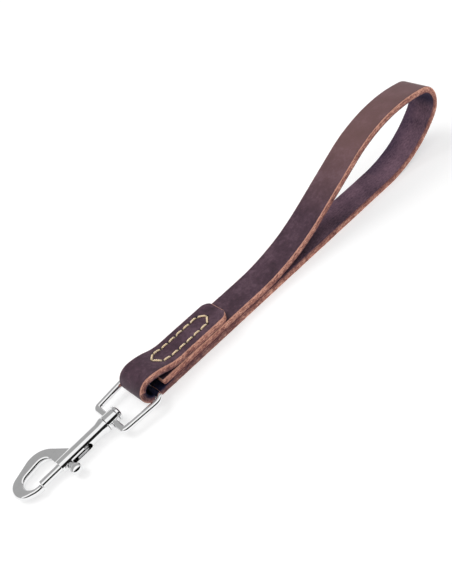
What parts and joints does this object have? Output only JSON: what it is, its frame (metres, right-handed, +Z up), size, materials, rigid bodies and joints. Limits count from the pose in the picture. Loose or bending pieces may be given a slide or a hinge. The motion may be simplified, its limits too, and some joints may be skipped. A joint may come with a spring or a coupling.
{
  "type": "training leash",
  "caption": "Short leather training leash: one folded strap with a hand loop, sewn round the bail of a swivel bolt snap with a sprung bolt and thumb knob.",
  "frame": {"origin": "on the underside of the strap, on its centre line, midway along the sewn lap", "axes": "+X along the leash from the snap towards the hand loop, +Y across the strap, +Z up from the surface that the leash lies on"},
  "size_m": [0.3494, 0.0375, 0.0468],
  "materials": {
    "leather": "waxed dark brown leather with lighter raw edges",
    "thread": "waxed cream-yellow thread",
    "chrome": "polished plating",
    "spring_steel": "bright drawn wire"
  },
  "bodies": {
    "strap": {"strap": "leather", "top_thread": "thread", "underside_thread": "thread"},
    "bail": {"bail": "chrome"},
    "snap": {"snap_body": "chrome", "swivel_stud": "chrome", "spring": "spring_steel"},
    "bolt": {"bolt": "chrome", "thumb_knob": "chrome"}
  },
  "joints": [
    {"name": "bail_pivot", "type": "hinge", "parent": "strap", "child": "bail", "pos_m": [-0.0262, -0.0018, 0.0064], "axis": [0, 1, 0], "range_deg": [-120, 120]},
    {"name": "snap_swivel", "type": "hinge", "parent": "bail", "child": "snap", "pos_m": [-0.0262, -0.0018, 0.0064], "axis": [0.9994, 0, 0.0348], "continuous": true},
    {"name": "bolt_slide", "type": "slide", "parent": "snap", "child": "bolt", "axis": [0.9994, 0, 0.0348], "range_m": [0, 0.01295], "stiffness_N_per_m": 300, "springref_m": -0.01, "deforming": ["spring"]}
  ]
}
